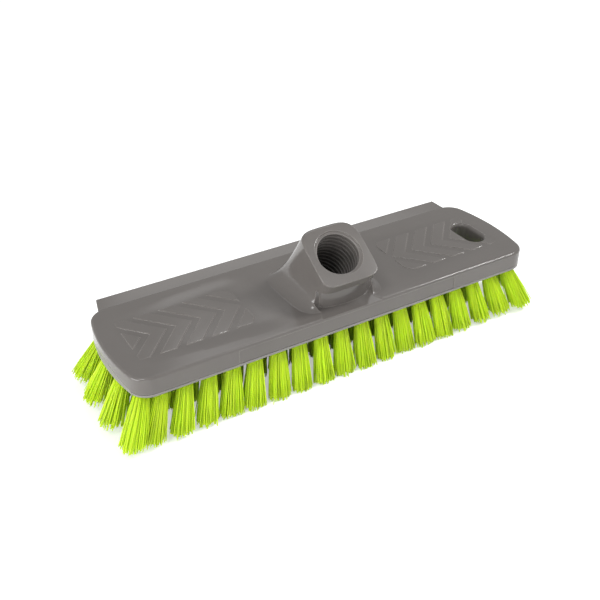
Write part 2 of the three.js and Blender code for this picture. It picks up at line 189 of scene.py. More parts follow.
class TuftSizes(bpy.types.PropertyGroup):
    """Rows of tufts and their filaments"""
    outer_y: size("Outer row", "Distance of the outer rows from the middle line", 22.5)
    corner_x: spot("Corner tuft", "Place of an outer row's first tuft, in the corner", -101.3)
    outer_start: spot("Outer row start", "Place of an outer row's second tuft", -93)
    outer_end: spot("Outer row end", "Place of an outer row's last tuft", 98.35)
    outer_count: count("Outer tufts", "Number of tufts in an outer row", 19)
    inner_y: size("Inner row", "Distance of the inner rows from the middle line", 7.5)
    inner_start: spot("Inner row start", "Place of an inner row's first tuft", -103.5)
    inner_end: spot("Inner row end", "Place of an inner row's last tuft", 102.5)
    inner_count: count("Inner tufts", "Number of tufts in an inner row, with those the slot takes", 20)
    hole: size("Hole", "Radius of a tuft hole", 2.7)
    hole_depth: size("Hole depth", "Depth of a tuft hole", 5.4)
    filaments: count("Filaments", "Number of filaments in a tuft", 220)
    tip_squareness: share("Tip squareness", "Exponent of a tuft's rounded oblong at its tips", 3)
    filament: size("Filament", "Radius of a filament", 0.28)
    root_spread: size("Root spread", "Radius of a tuft at its hole", 2.6)
    tip_spread: size("Tip spread", "Half the width of a tuft at its tips, along the row", 4.9)
    tip_depth: size("Tip depth", "Half the depth of a tuft at its tips, across the row", 3.0)
    end_fan: size("End fan", "Further half depth of a tuft at the block's very end", 3.6)
    side_splay: share("Side splay", "Lean of the rows to the sides, as a share of their distance", 0.289)
    length_splay: share("Length splay", "Lean of the tufts to the ends, as a share of their place", 0.07)
    end_splay: size("End splay", "Further lean of a tuft at the block's very end", 4)
    end_splay_power: share("End splay power", "How fast that lean grows towards the end", 4)
    end_rise: size("End rise", "Height of the leaning tips at the block's very end", 4)
    stray: size("Stray", "How far a tip strays from its place", 0.9)
    uneven: size("Uneven", "Most that a filament falls short of the trim", 3.4)


class AnchorSizes(bpy.types.PropertyGroup):
    """Flat wire anchors of the inner rows"""
    length: size("Length", "Length of an anchor", 6)
    height: size("Height", "Height of an anchor", 2.2)
    thickness: size("Thickness", "Thickness of the flat wire", 0.4)
    lift: size("Lift", "Height of an anchor above the plate's underside", 2.9)
    turn: angle("Turn", "Turn of an anchor from the row's direction", 30)


class FinishColours(bpy.types.PropertyGroup):
    """Base colours of the finishes"""
    cover: colour("Cover", "Warm grey of the cover", (0.152, 0.140, 0.131))
    plate: colour("Plate", "Paler grey of the tuft plate", (0.225, 0.214, 0.208))
    filament: colour("Filament", "Lime green of the filaments", (0.610, 0.920, 0.026))
    # Painted shade: the filaments are darker near their holes.
    filament_root_shade: colour("Deep filament", "Green of the filaments near their holes", (0.560, 0.880, 0.016))
    wire: colour("Wire", "Steel of the anchors", (0.55, 0.55, 0.53))
    floor: colour("Floor", "White of the floor", (0.92, 0.92, 0.92))


GROUPS = {
    "brush_block": BlockSizes,
    "brush_socket": SocketSizes,
    "brush_panel": PanelSizes,
    "brush_scraper": ScraperSizes,
    "brush_tufts": TuftSizes,
    "brush_anchors": AnchorSizes,
    "brush_colours": FinishColours,
}


# Levels and places that follow from the sizes

def block_top(block):
    return block.trim + block.height


def cover_bottom(block):
    return block.trim + block.rim + block.seam


def cavity_top(block):
    return block_top(block) - block.top


def block_middle(block):
    """The block's middle in the row frame, from the CAD tuft plate's own corner."""
    x, y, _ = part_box("tuft_plate")[0]
    return Vector((x + block.length / 2, y + block.width / 2, 0))


def socket_frame(block, socket):
    """Axes of the socket: Z along the bore, out of its mouth."""
    foot = Matrix.Translation((0, socket.y, block_top(block)))
    return foot @ Matrix.Rotation(socket.tilt, 4, "X")


def socket_length(socket):
    return socket.rise / math.cos(socket.tilt)


# Outlines, walls and joins

def verts_in(made):
    """The vertices among the results of a bmesh operator."""
    return [item for item in made if isinstance(item, bmesh.types.BMVert)]


def whole(bm):
    return bm.verts[:] + bm.edges[:] + bm.faces[:]


def arc(bm, vert, centre, turn, steps, axis=(0, 0, 1)):
    """Carries an outline on from a vertex, round a centre, and gives its last vertex."""
    made = bmesh.ops.spin(
        bm, geom=[vert], cent=centre, axis=axis, dvec=(0, 0, 0), angle=turn, steps=steps,
        use_merge=False, use_normal_flip=False, use_duplicate=False)
    return verts_in(made["geom_last"])[0]


def line_to(bm, vert, place):
    """Carries an outline straight on to a place."""
    made = bmesh.ops.extrude_vert_indiv(bm, verts=[vert])["verts"][0]
    made.co = place
    return made


def close_outline(bm):
    """Merges an outline's ends and fills it."""
    bmesh.ops.remove_doubles(bm, verts=bm.verts, dist=MERGE)
    ends = [v for v in bm.verts if len(v.link_edges) == 1]
    if ends:
        bm.edges.new(ends)
    return bmesh.ops.edgeloop_fill(bm, edges=bm.edges)["faces"][0]


def push(bm, faces, way):
    """Makes closed bodies from flat faces, and gives the moved faces."""
    grown = bmesh.ops.extrude_face_region(bm, geom=faces, use_keep_orig=True)["geom"]
    bmesh.ops.translate(bm, verts=verts_in(grown), vec=way)
    bmesh.ops.recalc_face_normals(bm, faces=bm.faces)
    return [item for item in grown if isinstance(item, bmesh.types.BMFace)]


def next_ring(bm, edges):
    """Extrudes open rings once, and gives their new edges and vertices."""
    grown = bmesh.ops.extrude_edge_only(bm, edges=edges)["geom"]
    return [item for item in grown if isinstance(item, bmesh.types.BMEdge)], verts_in(grown)


def close_ends(bm):
    """Fills every open rim and turns the faces outwards."""
    bmesh.ops.edgeloop_fill(bm, edges=[e for e in bm.edges if e.is_boundary])
    bmesh.ops.recalc_face_normals(bm, faces=bm.faces)


def cut_off(bm, place, outward):
    """Takes away what lies beyond a plane."""
    bmesh.ops.bisect_plane(
        bm, geom=whole(bm), dist=MERGE, plane_co=place, plane_no=outward, clear_outer=True)


def round_edges(bm, edges, radius, steps):
    bmesh.ops.bevel(
        bm, geom=edges, offset=radius, segments=steps, profile=0.5, affect="EDGES",
        offset_type="OFFSET", clamp_overlap=True, material=-1)


def half_turn(bm):
    """Adds the same form on the block's other half."""
    made = bmesh.ops.duplicate(bm, geom=whole(bm))["geom"]
    bmesh.ops.rotate(bm, verts=verts_in(made), cent=(0, 0, 0), matrix=Matrix.Rotation(math.pi, 3, "Z"))
    bmesh.ops.recalc_face_normals(bm, faces=bm.faces)


def quarter_turn(steps):
    """Angles of a rounding, from 0 to a right angle."""
    return [math.pi / 2 * i / steps for i in range(steps + 1)]


def block_outline(bm, block, inset, level):
    """Straight sides, bowed ends and rounded corners, set in from the block's own outline."""
    bow_x = block.length / 2 - block.end_bow
    corner_y = block.width / 2 - block.corner
    corner_x = bow_x + math.sqrt((block.end_bow - block.corner) ** 2 - corner_y ** 2)
    bow_turn = math.atan2(corner_y, corner_x - bow_x)
    corner_turn = math.pi / 2 - bow_turn
    vert = bm.verts.new((corner_x, inset - block.width / 2, level))
    for side in (1, -1):
        vert = arc(bm, vert, (side * corner_x, -side * corner_y, level), corner_turn, steps=10)
        vert = arc(bm, vert, (side * bow_x, 0, level), 2 * bow_turn, steps=16)
        vert = arc(bm, vert, (side * corner_x, side * corner_y, level), corner_turn, steps=10)
        vert = line_to(bm, vert, (-side * corner_x, side * (block.width / 2 - inset), level))
    return close_outline(bm)


def slot_end(panel):
    """Distance from the middle line to the centres of the slot's round ends."""
    return (panel.slot_length - panel.slot_width) / 2


def slot_outline(bm, panel, grow, level):
    """Round-ended oblong across the block."""
    radius = panel.slot_width / 2 + grow
    end_y = slot_end(panel)
    x = panel.slot_centre
    vert = bm.verts.new((x + radius, -end_y, level))
    vert = line_to(bm, vert, (x + radius, end_y, level))
    vert = arc(bm, vert, (x, end_y, level), math.pi, steps=20)
    vert = line_to(bm, vert, (x - radius, -end_y, level))
    arc(bm, vert, (x, -end_y, level), math.pi, steps=20)
    return close_outline(bm)


def outline_body(block, inset, low, high):
    bm = bmesh.new()
    push(bm, [block_outline(bm, block, inset, low)], (0, 0, high - low))
    return bm


def slot_body(panel, grow, low, high):
    bm = bmesh.new()
    push(bm, [slot_outline(bm, panel, grow, low)], (0, 0, high - low))
    return bm


def shaped_box(corner):
    """A box whose corners are set by a function of their signs."""
    bm = bmesh.new()
    bmesh.ops.create_cube(bm, size=2)
    for vert in bm.verts:
        vert.co = corner(*(math.copysign(1, c) for c in vert.co))
    return bm


def object_from(bm, name):
    """A new object with a bmesh's form."""
    mesh = bpy.data.meshes.new(name)
    bm.to_mesh(mesh)
    bm.free()
    piece = bpy.data.objects.new(name, mesh)
    bpy.context.scene.collection.objects.link(piece)
    return piece


def drop(piece):
    """Removes a helper object with its mesh."""
    mesh = piece.data
    bpy.data.objects.remove(piece)
    bpy.data.meshes.remove(mesh)


def join_form(piece, bm, operation):
    """Unites a form with a piece, or cuts it away, and keeps the result in the piece's mesh."""
    tool = object_from(bm, "tool")
    modifier = piece.modifiers.new("join", "BOOLEAN")
    modifier.operation = operation
    modifier.solver = "EXACT"
    modifier.object = tool
    shown = piece.evaluated_get(bpy.context.evaluated_depsgraph_get())
    mesh = bpy.data.meshes.new_from_object(shown)
    piece.modifiers.clear()
    spent = piece.data
    piece.data = mesh
    drop(tool)
    bpy.data.meshes.remove(spent)
    if not mesh.polygons:
        raise RuntimeError(f"{piece.name} has no faces left after a {operation.lower()}")


def finish_piece(piece, block, material, sharp_degrees):
    """Moves a finished piece to its place in the row frame and gives it shading, finish and body."""
    mesh = piece.data
    bm = bmesh.new()
    bm.from_mesh(mesh)
    bmesh.ops.remove_doubles(bm, verts=bm.verts, dist=MERGE)
    bmesh.ops.dissolve_degenerate(bm, edges=bm.edges, dist=MERGE)
    bmesh.ops.translate(bm, verts=bm.verts, vec=block_middle(block))
    for face in bm.faces:
        face.smooth = True
        face.material_index = 0
    bm.to_mesh(mesh)
    bm.free()
    mesh.set_sharp_from_angle(angle=math.radians(sharp_degrees))
    mesh.materials.clear()
    mesh.materials.append(material)
    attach(piece, "root")


def even_shading(piece):
    """Lets large flat faces set the shading of the roundings beside them."""
    modifier = piece.modifiers.new("even_shading", "WEIGHTED_NORMAL")
    modifier.keep_sharp = True
    modifier.weight = 50


# Forms of the cover

DISH_LIFT = 0.01 * MM  # height of a dish's border above the top
RIM_STEPS = 6
TOWER_SIDES = 128
TOWER_STEPS = 26
BORE_SIDES = 80
THREAD_LOW = -12 * MM  # end of the thread's form below the top, along the bore
THREAD_STEPS = 12  # points of the thread's profile in one turn
THREAD_FLANK = 2.4  # steepness of the thread's flanks
STEP_DROP = 1.15  # distance of the wall's set-back from the top, in radii of the top edge


def cover_shell(block):
    bm = bmesh.new()
    bottom = block_outline(bm, block, 0, cover_bottom(block))
    top, = push(bm, [bottom], (0, 0, block_top(block) - cover_bottom(block)))
    round_edges(bm, list(top.edges), block.top_edge, steps=5)
    return bm


def wall_steps(block):
    """Shallow set-back of the long walls between their witness steps."""
    bm = bmesh.new()
    top = block_top(block) - STEP_DROP * block.top_edge
    for side in (1, -1):
        for vert in bmesh.ops.create_cube(bm, size=2)["verts"]:
            outer = vert.co.y * side > 0
            vert.co = Vector((
                math.copysign(block.step_half, vert.co.x),
                side * (block.width / 2 + (OVERCUT if outer else -block.step_depth)),
                top if vert.co.z > 0 else block.trim))
    return bm


def soft_step(t):
    """Runs from 0 to 1 without a crease."""
    t = max(0, min(1, t))
    return t * t * (3 - 2 * t)


def dish_form(block, panel):
    """Lens-shaped dishes that fade out at their edges, one on each half."""
    bm = bmesh.new()
    top = block_top(block)
    bow_x = block.length / 2 - block.end_bow
    end = block.length / 2 - panel.dish_border
    half_x = (end - panel.dish_start) / 2
    bmesh.ops.create_grid(bm, x_segments=44, y_segments=30, size=1)
    bmesh.ops.scale(bm, vec=(half_x, panel.dish_half, 1), verts=bm.verts)
    bmesh.ops.translate(bm, vec=(panel.dish_start + half_x, 0, top), verts=bm.verts)
    side_y = panel.dish_side - panel.dish_half
    for vert in bm.verts:
        x, y = vert.co.x, abs(vert.co.y)
        from_side = panel.dish_side - math.hypot(x - panel.dish_start, y + side_y)
        from_bow = block.end_bow - panel.dish_border - math.hypot(x - bow_x, y)
        fall = soft_step(from_side / panel.dish_slope) * soft_step(from_bow / panel.dish_slope)
        fall *= soft_step((x - panel.dish_start) / panel.dish_fade)
        vert.co.z += DISH_LIFT - (panel.dish_depth + DISH_LIFT) * fall
    grown = bmesh.ops.extrude_face_region(bm, geom=bm.faces[:], use_keep_orig=True)["geom"]
    for vert in verts_in(grown):
        vert.co.z = top + OVERCUT
    half_turn(bm)
    return bm


def chevron_forms(block, panel):
    """Raised bands, cut off at the panel's ends, on both halves."""
    bm = bmesh.new()
    top = block_top(block)
    foot = top - block.top / 2
    total = 1 + math.ceil((panel.end - panel.first) / panel.pitch)
    for i in range(total):
        apex = panel.first + (i - 1) * panel.pitch
        arm_end = apex + panel.sweep
        for y in (panel.half, -panel.half):
            corners = [(apex, 0), (apex + panel.band, 0), (arm_end + panel.band, y), (arm_end, y)]
            bm.faces.new([bm.verts.new((*corner, foot)) for corner in corners])
    bmesh.ops.remove_doubles(bm, verts=bm.verts, dist=MERGE)
    cut_off(bm, (panel.start, 0, foot), (-1, 0, 0))
    cut_off(bm, (panel.end, 0, foot), (1, 0, 0))
    push(bm, bm.faces[:], (0, 0, top - foot))
    upper = [e for e in bm.edges if all(v.co.z > top - MERGE for v in e.verts)]
    rims = [e for e in upper if any(f.normal.z < 0.5 for f in e.link_faces)]
    round_edges(bm, rims, panel.band_edge, steps=3)
    half_turn(bm)
    return bm


def rounded_oblong(turn, half_x, half_y, squareness):
    """A point of a rounded square or oblong in a direction."""
    across, up = math.cos(turn), math.sin(turn)
    reach = (abs(across) ** squareness + abs(up) ** squareness) ** (-1 / squareness)
    return half_x * reach * across, half_y * reach * up


def tower_line(block, socket, turn):
    """One line of the tower, from the mouth's face over its rounded edge and out into the foot."""
    place = socket_frame(block, socket)
    length = socket_length(socket)
    crowned = math.sin(turn) > 0
    mouth_rise = socket.mouth_height / 2 + (socket.mouth_crown if crowned else 0)
    squareness = socket.crown_squareness if crowned else socket.mouth_squareness
    u, v = rounded_oblong(turn, socket.mouth_width / 2, mouth_rise, squareness)
    upper = max(0, v / mouth_rise)
    edge = socket.mouth_edge + (socket.mouth_back_edge - socket.mouth_edge) * upper ** 2
    points = []
    for swing in quarter_turn(RIM_STEPS)[:-1]:
        inset = 1 - edge * (1 - math.sin(swing)) / math.hypot(u, v)
        points.append(place @ Vector((u * inset, v * inset, length - edge * (1 - math.cos(swing)))))
    rim = place @ Vector((u, v, length - edge))
    bend = place @ Vector((u, v, -v * math.tan(socket.tilt)))
    deep = (socket.flare_back + socket.flare_front) / 2
    middle = (socket.flare_back - socket.flare_front) / 2
    foot_x, foot_y = rounded_oblong(turn, socket.flare_width / 2, deep, socket.flare_squareness)
    base = Vector((foot_x, socket.y + middle + foot_y, block_top(block) - socket.flare_root))
    straight = rim.lerp(bend, 0.5)
    for i in range(TOWER_STEPS + 1):
        t = i / TOWER_STEPS
        s = 1 - t
        points.append(s ** 3 * rim + 3 * s * s * t * straight + 3 * s * t * t * bend + t ** 3 * base)
    return points


def socket_tower(block, socket):
    """Flared tower, drawn ring by ring from its mouth to its foot."""
    lines = [tower_line(block, socket, 2 * math.pi * i / TOWER_SIDES) for i in range(TOWER_SIDES)]
    bm = bmesh.new()
    line_of = bm.verts.layers.int.new("line")
    ring = bmesh.ops.create_circle(bm, cap_ends=False, radius=1, segments=TOWER_SIDES)["verts"]
    for i, vert in enumerate(ring):
        vert[line_of] = i
        vert.co = lines[i][0]
    edges = bm.edges[:]
    for step in range(1, len(lines[0])):
        edges, ring = next_ring(bm, edges)
        for vert in ring:
            vert.co = lines[vert[line_of]][step]
    close_ends(bm)
    return bm


def spun_body(profile, rise):
    """A body from a profile of radius and height, spun once round Z while it climbs by a rise."""
    bm = bmesh.new()
    verts = [bm.verts.new((radius, 0, height)) for radius, height in profile]
    for pair in zip(verts, verts[1:]):
        bm.edges.new(pair)
    bmesh.ops.spin(
        bm, geom=bm.verts[:] + bm.edges[:], cent=(0, 0, 0), axis=(0, 0, 1), dvec=(0, 0, rise / BORE_SIDES),
        angle=2 * math.pi, steps=BORE_SIDES, use_merge=rise == 0, use_normal_flip=False, use_duplicate=False)
    bmesh.ops.remove_doubles(bm, verts=bm.verts, dist=MERGE)
    return bm


def trim_ends(bm, low, high):
    """Cuts a spun body off flat at two heights and closes it."""
    for level, outward in ((low, -1), (high, 1)):
        cut_off(bm, (0, 0, level), (0, 0, outward))
        open_edges = [e for e in bm.edges if e.is_boundary]
        rim = [e for e in open_edges if all(abs(v.co.z - level) < 10 * MERGE for v in e.verts)]
        bmesh.ops.edgeloop_fill(bm, edges=rim)
    bmesh.ops.recalc_face_normals(bm, faces=bm.faces)


def thread_core(block, socket):
    """The thread's own form: a right-hand helix with rounded ridges, from the mouth into the cavity."""
    high = socket_length(socket) + OVERCUT
    pitch = socket.thread_pitch
    first = math.floor(THREAD_LOW / pitch) - 1
    turns = math.ceil(high / pitch) + 1 - first
    middle = (socket.thread_diameter - socket.thread_depth) / 2
    profile = []
    for i in range(turns * THREAD_STEPS + 1):
        wave = max(-1, min(1, THREAD_FLANK * math.cos(2 * math.pi * i / THREAD_STEPS)))
        height = (first + i / THREAD_STEPS + socket.thread_start) * pitch
        profile.append((middle + socket.thread_depth / 2 * wave, height))
    bm = spun_body(profile, pitch)
    trim_ends(bm, THREAD_LOW, high)
    bmesh.ops.transform(bm, matrix=socket_frame(block, socket), verts=bm.verts)
    return bm


def bore_lip(block, socket):
    """Rounded lip that leads into the bore."""
    length = socket_length(socket)
    radius = socket.thread_diameter / 2
    edge = socket.lead_in
    profile = [(radius - edge / 4, length - 2 * edge)]
    for swing in quarter_turn(RIM_STEPS):
        profile.append((radius + edge * (1 - math.cos(swing)), length - edge * (1 - math.sin(swing))))
    profile.append((radius + edge, length + OVERCUT))
    bm = spun_body(profile, 0)
    close_ends(bm)
    bmesh.ops.transform(bm, matrix=socket_frame(block, socket), verts=bm.verts)
    return bm


def socket_scoop(block, socket):
    """Hollow between the socket's two front ridges, open to the block's front edge."""
    top = block_top(block)
    half = block.width / 2
    wall_y = socket.y - socket.pedestal_front
    back = wall_y + socket.scoop_reach
    slope = socket.scoop_depth / (half + wall_y)

    def corner(sx, sy, sz):
        y = -half - OVERCUT if sy < 0 else back
        spread = (socket.scoop_front - socket.scoop_back) * (back - y) / (back + half)
        spread += socket.scoop_lean if sz > 0 else 0
        floor = top + slope * min(0, y - wall_y)
        return Vector((sx * (socket.scoop_back + spread), y, floor if sz < 0 else top + socket.pedestal_rise))

    bm = shaped_box(corner)
    lower = [e for e in bm.edges if all(v.co.z < top + MERGE for v in e.verts)]
    lower = [e for e in lower if not all(v.co.y < -half for v in e.verts)]
    round_edges(bm, lower, socket.scoop_edge, steps=4)
    return bm


def pedestal(block, socket):
    """Bowed wall that carries the mouth's lower edge."""
    bm = bmesh.new()
    level = block_top(block) - socket.pedestal_root
    half = socket.pedestal_half
    centre_y = socket.pedestal_bow - socket.pedestal_front
    bow_turn = math.asin(half / socket.pedestal_bow)
    side_y = centre_y - socket.pedestal_bow * math.cos(bow_turn)
    vert = bm.verts.new((-half, side_y, level))
    vert = arc(bm, vert, (0, centre_y, level), 2 * bow_turn, steps=14)
    side = socket.pedestal_side
    for x, y in ((side, -socket.pedestal_back), (side, 0), (-side, 0), (-side, -socket.pedestal_back)):
        vert = line_to(bm, vert, (x, y, level))
    push(bm, [close_outline(bm)], (0, 0, socket.pedestal_rise + socket.pedestal_root))
    upright = [e for e in bm.edges if abs(e.verts[0].co.z - e.verts[1].co.z) > MM]
    corners = [e for e in upright if abs(abs(e.verts[0].co.x) - half) < MERGE]
    round_edges(bm, corners, socket.pedestal_corner, steps=5)
    bmesh.ops.translate(bm, verts=bm.verts, vec=(0, socket.y, 0))
    return bm


def scraper_lip(block, scraper):
    top = block_top(block)
    half = block.width / 2

    def corner(sx, sy, sz):
        tip = sy > 0
        y = half + scraper.reach if tip else half - block.wall / 2
        level = top if tip else top - scraper.root_drop
        thickness = scraper.tip_thickness if tip else scraper.root_thickness
        length = scraper.tip_length if tip else scraper.root_length
        return Vector((sx * length / 2, y, level if sz > 0 else level - thickness))

    bm = shaped_box(corner)
    free = [e for e in bm.edges if not all(v.co.y < half for v in e.verts)]
    round_edges(bm, free, scraper.edge, steps=3)
    return bm


def end_lip_forms(block, grow):
    """Arched lips of the tuft plate at both ends, grown by a gap."""
    bm = bmesh.new()
    half = block.end_lip_width / 2 + grow
    rise = block.end_lip_rise + grow
    radius = (half ** 2 + rise ** 2) / (2 * rise)
    reach = math.asin(half / radius)
    inner = block.length / 2 - block.end_lip_depth - grow
    centre = (inner, 0, cover_bottom(block) + rise - radius)
    vert = bm.verts.new((inner, half, block.trim + block.seam))
    vert = line_to(bm, vert, (inner, half, cover_bottom(block)))
    vert = arc(bm, vert, centre, 2 * reach, steps=24, axis=(1, 0, 0))
    line_to(bm, vert, (inner, -half, block.trim + block.seam))
    push(bm, [close_outline(bm)], (block.end_lip_depth + grow + OVERCUT, 0, 0))
    half_turn(bm)
    return bm


def slot_cut(block, panel):
    """Cut of the hanging slot with a soft rim at the top."""
    bm = bmesh.new()
    top = block_top(block)
    rim = panel.slot_rim
    rings = [
        (rim * (1 - math.cos(swing)), top - rim * (1 - math.sin(swing))) for swing in quarter_turn(RIM_STEPS)]
    rings.append((rim, top + OVERCUT))
    face = slot_outline(bm, panel, 0, block.trim - OVERCUT)
    edges = list(face.edges)
    bmesh.ops.delete(bm, geom=[face], context="FACES_ONLY")
    end_y = slot_end(panel)
    grown = 0
    for wide, level in rings:
        edges, ring = next_ring(bm, edges)
        for vert in ring:
            spine = Vector((panel.slot_centre, max(-end_y, min(end_y, vert.co.y)), vert.co.z))
            vert.co += (vert.co - spine).normalized() * (wide - grown)
            vert.co.z = level
        grown = wide
    close_ends(bm)
    return bm


class BRUSH_OT_cover(bpy.types.Operator):
    """Builds the grey cover with its socket, scraper lip, chevron panels and hanging slot"""
    bl_idname = "brush.cover"
    bl_label = "Build cover"

    def execute(self, context):
        scene = context.scene
        block, socket, panel = scene.brush_block, scene.brush_socket, scene.brush_panel
        cover = object_from(cover_shell(block), "cover")
        join_form(cover, wall_steps(block), "DIFFERENCE")
        join_form(cover, dish_form(block, panel), "DIFFERENCE")
        join_form(cover, chevron_forms(block, panel), "UNION")
        join_form(cover, socket_tower(block, socket), "UNION")
        join_form(cover, socket_scoop(block, socket), "DIFFERENCE")
        join_form(cover, pedestal(block, socket), "UNION")
        join_form(cover, outline_body(block, block.wall, 0, cavity_top(block)), "DIFFERENCE")
        join_form(cover, thread_core(block, socket), "DIFFERENCE")
        join_form(cover, bore_lip(block, socket), "DIFFERENCE")
        join_form(cover, end_lip_forms(block, block.seam), "DIFFERENCE")
        join_form(cover, scraper_lip(block, scene.brush_scraper), "UNION")
        collar = slot_body(panel, panel.slot_wall, block.trim, block_top(block) - block.top / 2)
        join_form(cover, collar, "UNION")
        join_form(cover, slot_cut(block, panel), "DIFFERENCE")
        finish_piece(cover, block, cover_finish(scene.brush_colours, block, panel), SHARP)
        even_shading(cover)
        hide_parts("top_cover")
        return {"FINISHED"}


# Tuft places

def row_places(total, start, end, y):
    return [Vector((start + (end - start) * i / (total - 1), y)) for i in range(total)]


def inner_places(tufts, panel, block, side):
    """Places of an inner row, without those that the hanging slot takes."""
    gap = panel.slot_width / 2 + panel.slot_wall + block.seam + tufts.hole
    places = row_places(tufts.inner_count, tufts.inner_start, tufts.inner_end, side * tufts.inner_y)
    return [p for p in places if abs(p.x - panel.slot_centre) > gap]


def tuft_rows(tufts, panel, block):
    """Places of the four rows. A tuft beyond the slot belongs to the outer row beside it."""
    rows = {}
    for side, word in ((-1, "front"), (1, "back")):
        inner = inner_places(tufts, panel, block, side)
        y = side * tufts.outer_y
        outer = row_places(tufts.outer_count - 1, tufts.outer_start, tufts.outer_end, y)
        beyond = [p for p in inner if p.x > panel.slot_centre]
        rows[word] = [Vector((tufts.corner_x, y))] + outer + beyond
        rows[word + "_inner"] = [p for p in inner if p.x < panel.slot_centre]
    return rows


def all_places(tufts, panel, block):
    return [place for row in tuft_rows(tufts, panel, block).values() for place in row]


def end_share(place, tufts, block):
    """How near a tuft is to the block's very end, from none in the middle to one."""
    return abs(2 * place.x / block.length) ** tufts.end_splay_power


def tuft_tip(place, tufts, block):
    """Where a tuft's middle ends: the tufts lean to the sides and to the ends."""
    near_end = end_share(place, tufts, block)
    lean = math.copysign(tufts.end_splay * near_end, place.x)
    x = place.x * (1 + tufts.length_splay) + lean
    return Vector((x, place.y * (1 + tufts.side_splay), tufts.end_rise * near_end))


# Tuft plate

PLATE_EDGE = 0.4 * MM


def end_lips(block):
    """The plate's end lips, cut to the block's outline."""
    lips = object_from(end_lip_forms(block, 0), "lips")
    join_form(lips, outline_body(block, 0, 0, block_top(block)), "INTERSECT")
    bm = bmesh.new()
    bm.from_mesh(lips.data)
    drop(lips)
    return bm


def tuft_holes(block, panel, tufts):
    bm = bmesh.new()
    deep = tufts.hole_depth + OVERCUT
    for place in all_places(tufts, panel, block):
        middle = Matrix.Translation((place.x, place.y, block.trim - OVERCUT + deep / 2))
        bmesh.ops.create_cone(
            bm, cap_ends=True, cap_tris=False, segments=20, radius1=tufts.hole, radius2=tufts.hole,
            depth=deep, matrix=middle)
    return bm


class BRUSH_OT_plate(bpy.types.Operator):
    """Builds the drilled tuft plate with its rim and arched end lips"""
    bl_idname = "brush.plate"
    bl_label = "Build tuft plate"

    def execute(self, context):
        scene = context.scene
        block, panel, tufts = scene.brush_block, scene.brush_panel, scene.brush_tufts
        rim = bmesh.new()
        push(rim, [block_outline(rim, block, 0, block.trim)], (0, 0, block.rim))
        underside = [e for e in rim.edges if all(v.co.z < block.trim + MERGE for v in e.verts)]
        round_edges(rim, underside, PLATE_EDGE, steps=3)
        plate = object_from(rim, "plate")
        body_top = cavity_top(block) - block.seam
        middle = block.trim + block.rim / 2
        join_form(plate, outline_body(block, block.wall + block.seam, middle, body_top), "UNION")
        join_form(plate, end_lips(block), "UNION")
        join_form(plate, slot_body(panel, panel.slot_wall + block.seam, 0, block_top(block)), "DIFFERENCE")
        join_form(plate, tuft_holes(block, panel, tufts), "DIFFERENCE")
        finish_piece(plate, block, plate_finish(scene.brush_colours), SHARP)
        even_shading(plate)
        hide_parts("tuft_plate")
        return {"FINISHED"}


# Tufts

FIRST_SEED = 100
FILAMENT_SIDES = 4
FILAMENT_STEPS = 3
FILAMENT_SEAT = 2 * MM  # height of a filament's start above the plate's underside
GOLDEN_TURN = math.pi * (3 - math.sqrt(5))
SWELL = (0.88, 1.12)  # least and most width of a tuft, as a share of its usual one
DRIFT = 0.7  # stray of a whole tuft, as a share of a tip's
LOOSE_SHARE = 0.07  # share of the filaments that stray far
LOOSE_STRAY = 2.6
HELD_STRAY = 0.8
STRAY_WIDTH = 0.5  # spread of the bell curve of strays
SHORT_POWER = 1.2  # above 1, most filaments end near the trim
EARLY = (0.05, 0.3)  # how much of its fan a filament takes early
END_FAN_ALONG = 3  # an end tuft's fan grows this many times less along the row than across it


def filament_path(root, tip, early):
    """Bend of a filament from its hole to its tip, with the share of its fan that it takes early."""
    bend = (root + tip) / 2 + early

    def at(t):
        s = 1 - t
        return s * s * root + 2 * s * t * bend + t * t * tip
    return at


